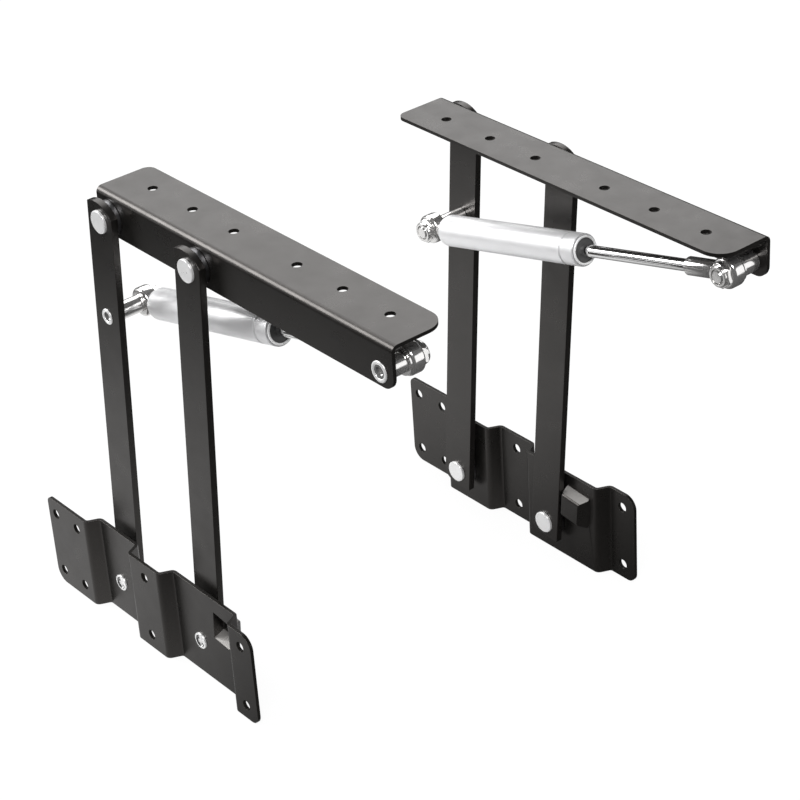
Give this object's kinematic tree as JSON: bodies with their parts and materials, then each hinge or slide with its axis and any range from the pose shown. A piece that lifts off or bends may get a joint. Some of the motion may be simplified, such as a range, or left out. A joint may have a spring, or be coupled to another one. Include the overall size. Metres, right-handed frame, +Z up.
{
  "type": "lift top table mechanism",
  "caption": "Left and right pair of lift top table hinges: joggled base plates, parallel steel arms, top angles and gas struts that swing a table top up and towards the sitter.",
  "frame": {"origin": "midway between the two units' outer mounting faces and midway along the pair's length, level with the bottom edges of the base plates", "axes": "+X towards the person at the table, +Y from the left unit to the right unit, +Z up"},
  "size_m": [0.4464, 0.297, 0.341],
  "materials": {
    "black_paint": "satin powder coat",
    "rivet_steel": "bright zinc",
    "dark_washer": "dull zinc",
    "plated_steel": "polished nickel plate",
    "satin_aluminium": "satin silver",
    "dark_guide": "turned",
    "seal_rubber": "matt",
    "chrome_rod": "ground and hard chromed"
  },
  "bodies": {
    "bases": {"left_base_plate": "black_paint", "left_base_rivets": "rivet_steel", "left_base_spacers": "dark_washer", "right_base_plate": "black_paint", "right_base_rivets": "rivet_steel", "right_base_spacers": "dark_washer"},
    "left_rear_link": {"left_rear_arm": "black_paint", "left_rear_pin": "plated_steel", "left_rear_nut": "plated_steel"},
    "left_front_link": {"left_front_arm": "black_paint"},
    "left_bracket": {"left_top_bracket": "black_paint", "left_top_rivets": "rivet_steel", "left_top_spacers": "dark_washer", "left_front_pin": "plated_steel"},
    "left_tube": {"left_strut_tube": "satin_aluminium", "left_tube_eye": "plated_steel", "left_rod_guide": "dark_guide", "left_rod_seal": "seal_rubber"},
    "left_rod": {"left_piston_rod": "chrome_rod", "left_piston": "dark_guide", "left_piston_ring": "seal_rubber", "left_rod_end": "plated_steel", "left_front_stud": "plated_steel", "left_front_washer": "plated_steel", "left_front_nut": "plated_steel"},
    "right_rear_link": {"right_rear_arm": "black_paint", "right_rear_pin": "plated_steel", "right_rear_nut": "plated_steel"},
    "right_front_link": {"right_front_arm": "black_paint"},
    "right_bracket": {"right_top_bracket": "black_paint", "right_top_rivets": "rivet_steel", "right_top_spacers": "dark_washer", "right_front_pin": "plated_steel"},
    "right_tube": {"right_strut_tube": "satin_aluminium", "right_tube_eye": "plated_steel", "right_rod_guide": "dark_guide", "right_rod_seal": "seal_rubber"},
    "right_rod": {"right_piston_rod": "chrome_rod", "right_piston": "dark_guide", "right_piston_ring": "seal_rubber", "right_rod_end": "plated_steel", "right_front_stud": "plated_steel", "right_front_washer": "plated_steel", "right_front_nut": "plated_steel"}
  },
  "joints": [
    {"name": "left_fold", "type": "hinge", "parent": "bases", "child": "left_rear_link", "pos_m": [-0.14967, -0.1326, 0.0275], "axis": [0, -1, 0], "range_deg": [0, 77.7]},
    {"name": "left_front_arm_pivot", "type": "hinge", "parent": "bases", "child": "left_front_link", "pos_m": [-0.05307, -0.1326, 0.0275], "axis": [0, -1, 0], "range_deg": [0, 77.71]},
    {"name": "left_bracket_pivot", "type": "hinge", "parent": "left_rear_link", "child": "left_bracket", "pos_m": [-0.12273, -0.1326, 0.32348], "axis": [0, -1, 0], "range_deg": [-77.71, 0]},
    {"name": "left_strut_pivot", "type": "hinge", "parent": "left_rear_link", "child": "left_tube", "pos_m": [-0.12937, -0.1015, 0.25058], "axis": [0, -1, 0], "range_deg": [-86.46, 0]},
    {"name": "left_rod_slide", "type": "slide", "parent": "left_tube", "child": "left_rod", "axis": [0.9708, 0, 0.2399], "range_m": [-0.0841, 0], "stiffness_N_per_m": 240, "springref_m": 0.34},
    {"name": "right_fold", "type": "hinge", "parent": "bases", "child": "right_rear_link", "pos_m": [-0.08967, 0.1326, 0.0275], "axis": [0, -1, 0], "range_deg": [0, 77.7]},
    {"name": "right_front_arm_pivot", "type": "hinge", "parent": "bases", "child": "right_front_link", "pos_m": [0.00693, 0.1326, 0.0275], "axis": [0, -1, 0], "range_deg": [0, 77.71]},
    {"name": "right_bracket_pivot", "type": "hinge", "parent": "right_rear_link", "child": "right_bracket", "pos_m": [-0.06273, 0.1326, 0.32348], "axis": [0, -1, 0], "range_deg": [-77.71, 0]},
    {"name": "right_strut_pivot", "type": "hinge", "parent": "right_rear_link", "child": "right_tube", "pos_m": [-0.06937, 0.1015, 0.25058], "axis": [0, -1, 0], "range_deg": [-86.46, 0]},
    {"name": "right_rod_slide", "type": "slide", "parent": "right_tube", "child": "right_rod", "axis": [0.9708, 0, 0.2399], "range_m": [-0.0841, 0], "stiffness_N_per_m": 240, "springref_m": 0.34}
  ],
  "couplings": [
    {"joint": "left_front_arm_pivot", "follows": "left_fold", "ratio": 1},
    {"joint": "left_bracket_pivot", "follows": "left_fold", "ratio": -1},
    {"joint": "left_strut_pivot", "follows": "left_fold", "ratio": -1.1125},
    {"joint": "left_rod_slide", "follows": "left_fold", "m_per_rad": -0.061976},
    {"joint": "right_front_arm_pivot", "follows": "right_fold", "ratio": 1},
    {"joint": "right_bracket_pivot", "follows": "right_fold", "ratio": -1},
    {"joint": "right_strut_pivot", "follows": "right_fold", "ratio": -1.1125},
    {"joint": "right_rod_slide", "follows": "right_fold", "m_per_rad": -0.061976}
  ]
}
